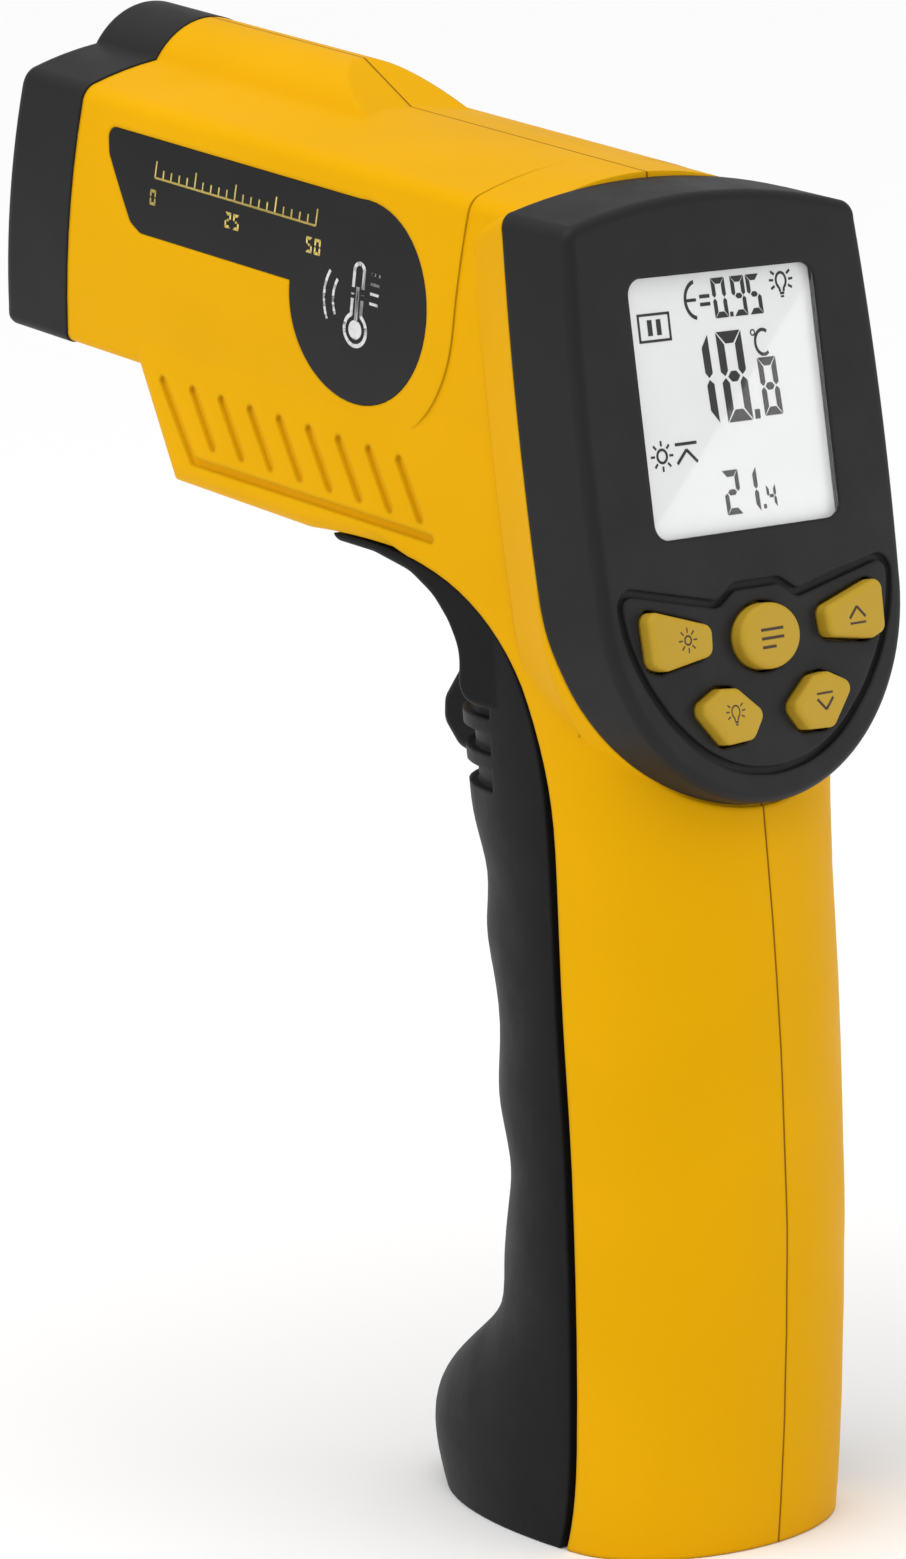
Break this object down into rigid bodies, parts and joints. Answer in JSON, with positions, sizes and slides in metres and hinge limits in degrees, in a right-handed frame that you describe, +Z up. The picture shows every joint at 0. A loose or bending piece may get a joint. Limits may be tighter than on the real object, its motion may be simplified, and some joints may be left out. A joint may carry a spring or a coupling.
{
  "type": "infrared thermometer",
  "caption": "Handheld pistol-shaped infrared thermometer with a sprung trigger, tilted display head, five keys and a hinged grip cover over the battery.",
  "frame": {"origin": "centre of the handle's flat base, on the surface that the tool stands on", "axes": "+Z up with the tool standing on its base, -X the way the barrel points (9 degrees above level), +Y the user's right hand side seen from behind the display"},
  "size_m": [0.1159, 0.0494, 0.1778],
  "materials": {
    "shell_yellow": "fine moulded texture, satin",
    "shell_black": "fine moulded texture, satin",
    "grip_black": "soft-touch satin",
    "key_rubber": "satin silicone",
    "label_film": "satin printed film",
    "window_clear": "clear hard-coated acrylic",
    "lcd": "grey reflective liquid crystal",
    "diffuser": "white diffuser",
    "frame_black": "satin",
    "circuit_board": "solder mask",
    "components": "moulded epoxy",
    "steel": "zinc plated",
    "spring_steel": "polished wire",
    "brass": "turned",
    "aluminium": "black anodised",
    "lens": "coated infrared lens",
    "laser_glass": "clear",
    "battery_case": "printed wrap",
    "snap_black": "vinyl",
    "foam": "closed-cell foam",
    "lead_insulation": "soft vinyl",
    "gasket": "adhesive foam",
    "mat_rubber": "translucent silicone",
    "contact_rubber": "striped silicone"
  },
  "bodies": {
    "housing": {"left_shell": "shell_yellow", "right_shell": "shell_yellow", "left_label": "label_film", "right_label": "label_film", "shell_screws": "steel", "nose_cap": "shell_black", "lens_tube": "aluminium", "infrared_lens": "lens", "lens_ring": "aluminium", "thermopile_sensor": "steel", "sensor_board": "circuit_board", "laser_module": "brass", "laser_lens": "laser_glass", "laser_holder": "frame_black", "laser_window": "window_clear", "display_bezel": "shell_black", "display_window": "window_clear", "window_gasket": "gasket", "display_glass": "lcd", "display_backlight": "diffuser", "display_contact_strip": "contact_rubber", "display_support": "frame_black", "main_board": "circuit_board", "board_components": "components", "board_screws": "steel", "keypad_mat": "mat_rubber", "key_switches": "components", "buzzer": "components", "battery_frame": "frame_black", "battery": "battery_case", "battery_snap": "snap_black", "battery_pad": "foam", "battery_leads": "lead_insulation", "trigger_spring": "spring_steel", "trigger_switch": "components", "trigger_board": "circuit_board"},
    "battery_door": {"battery_door": "grip_black", "door_hinge_pin": "steel"},
    "trigger": {"trigger": "shell_black"},
    "laser_key": {"laser_key": "key_rubber"},
    "up_key": {"up_key": "key_rubber"},
    "mode_key": {"mode_key": "key_rubber"},
    "light_key": {"light_key": "key_rubber"},
    "down_key": {"down_key": "key_rubber"}
  },
  "joints": [
    {"name": "door_hinge", "type": "hinge", "parent": "housing", "child": "battery_door", "pos_m": [-0.019, 0, 0.0076], "axis": [0, -1, 0], "range_deg": [0, 65]},
    {"name": "trigger_slide", "type": "slide", "parent": "housing", "child": "trigger", "axis": [1, 0, 0], "range_m": [0, 0.003], "stiffness_N_per_m": 600, "springref_m": -0.002, "deforming": ["trigger_spring"]},
    {"name": "laser_press", "type": "slide", "parent": "housing", "child": "laser_key", "axis": [-0.9903, 0, -0.1392], "range_m": [0, 0.0008], "stiffness_N_per_m": 1500, "springref_m": -0.0004},
    {"name": "up_press", "type": "slide", "parent": "housing", "child": "up_key", "axis": [-0.9903, 0, -0.1392], "range_m": [0, 0.0008], "stiffness_N_per_m": 1500, "springref_m": -0.0004},
    {"name": "mode_press", "type": "slide", "parent": "housing", "child": "mode_key", "axis": [-0.9903, 0, -0.1392], "range_m": [0, 0.0008], "stiffness_N_per_m": 1500, "springref_m": -0.0004},
    {"name": "light_press", "type": "slide", "parent": "housing", "child": "light_key", "axis": [-0.9903, 0, -0.1392], "range_m": [0, 0.0008], "stiffness_N_per_m": 1500, "springref_m": -0.0004},
    {"name": "down_press", "type": "slide", "parent": "housing", "child": "down_key", "axis": [-0.9903, 0, -0.1392], "range_m": [0, 0.0008], "stiffness_N_per_m": 1500, "springref_m": -0.0004}
  ]
}
